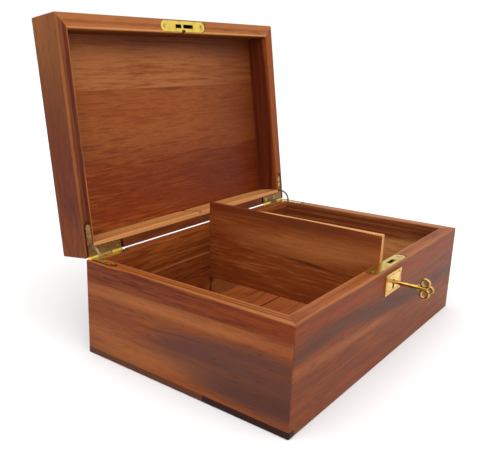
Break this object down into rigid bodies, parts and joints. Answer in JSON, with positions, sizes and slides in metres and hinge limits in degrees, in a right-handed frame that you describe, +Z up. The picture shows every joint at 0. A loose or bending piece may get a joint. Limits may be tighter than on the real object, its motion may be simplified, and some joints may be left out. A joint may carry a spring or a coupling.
{
  "type": "wooden storage box",
  "caption": "Mitred hardwood storage box with a hinged lid on brass quadrant hinges, a lift-up divider in grooves and a key lock.",
  "frame": {"origin": "middle of the underside of the base, on the surface the box rests on", "axes": "+X along the lock side to the right as seen from the front, +Y from the lock side to the hinge side, +Z up"},
  "size_m": [0.28, 0.2592, 0.2516],
  "materials": {
    "wood_wall": "satin lacquer",
    "wood_floor": "satin lacquer",
    "wood_panel": "satin lacquer",
    "wood_divider": "satin lacquer",
    "brass": "polished",
    "brass_dark": "brushed",
    "brass_screw": "polished",
    "brass_key": "polished",
    "steel": "brushed"
  },
  "bodies": {
    "base": {"base_front_wall": "wood_wall", "base_back_wall": "wood_wall", "base_left_wall": "wood_wall", "base_right_wall": "wood_wall", "floor_board_1": "wood_floor", "floor_board_2": "wood_floor", "floor_board_3": "wood_floor", "left_hinge_base_leaf": "brass", "left_hinge_pin": "brass", "right_hinge_base_leaf": "brass", "right_hinge_pin": "brass", "hinge_base_screws": "brass_screw", "lock_screws": "brass_screw", "escutcheon_nails": "brass_screw", "lock_faceplate": "brass", "escutcheon": "brass", "lock_case": "steel", "lock_cover": "steel", "lock_rivets": "steel"},
    "lid": {"lid_front_wall": "wood_wall", "lid_back_wall": "wood_wall", "lid_left_wall": "wood_wall", "lid_right_wall": "wood_wall", "lid_board_1": "wood_panel", "lid_board_2": "wood_panel", "lid_board_3": "wood_panel", "left_hinge_lid_leaf": "brass", "right_hinge_lid_leaf": "brass", "hinge_lid_screws": "brass_screw", "strike_plate": "brass", "strike_screws": "brass_screw"},
    "left_stay": {"left_stay_arm": "brass_dark"},
    "right_stay": {"right_stay_arm": "brass_dark"},
    "divider": {"divider": "wood_divider"},
    "key": {"key": "brass_key"},
    "hook_bolt": {"hook_bolt": "steel"}
  },
  "joints": [
    {"name": "lid_hinge", "type": "hinge", "parent": "base", "child": "lid", "pos_m": [0, 0.0893, 0.07515], "axis": [1, 0, 0], "range_deg": [0, 98]},
    {"name": "left_stay_swing", "type": "hinge", "parent": "base", "child": "left_stay", "pos_m": [-0.1339, 0.0893, 0.07515], "axis": [1, 0, 0], "range_deg": [0, 49]},
    {"name": "right_stay_swing", "type": "hinge", "parent": "base", "child": "right_stay", "pos_m": [0.1339, 0.0893, 0.07515], "axis": [1, 0, 0], "range_deg": [0, 49]},
    {"name": "divider_slide", "type": "slide", "parent": "base", "child": "divider", "axis": [0, 0, 1], "range_m": [-0.022, 0]},
    {"name": "key_turn", "type": "hinge", "parent": "base", "child": "key", "pos_m": [0, -0.0835, 0.063], "axis": [0, -1, 0], "range_deg": [0, 90]},
    {"name": "bolt_swing", "type": "hinge", "parent": "base", "child": "hook_bolt", "pos_m": [0, -0.0835, 0.063], "axis": [0, -1, 0], "range_deg": [0, 90]}
  ],
  "couplings": [
    {"joint": "left_stay_swing", "follows": "lid_hinge", "ratio": 0.5},
    {"joint": "right_stay_swing", "follows": "lid_hinge", "ratio": 0.5},
    {"joint": "bolt_swing", "follows": "key_turn", "ratio": 1}
  ]
}
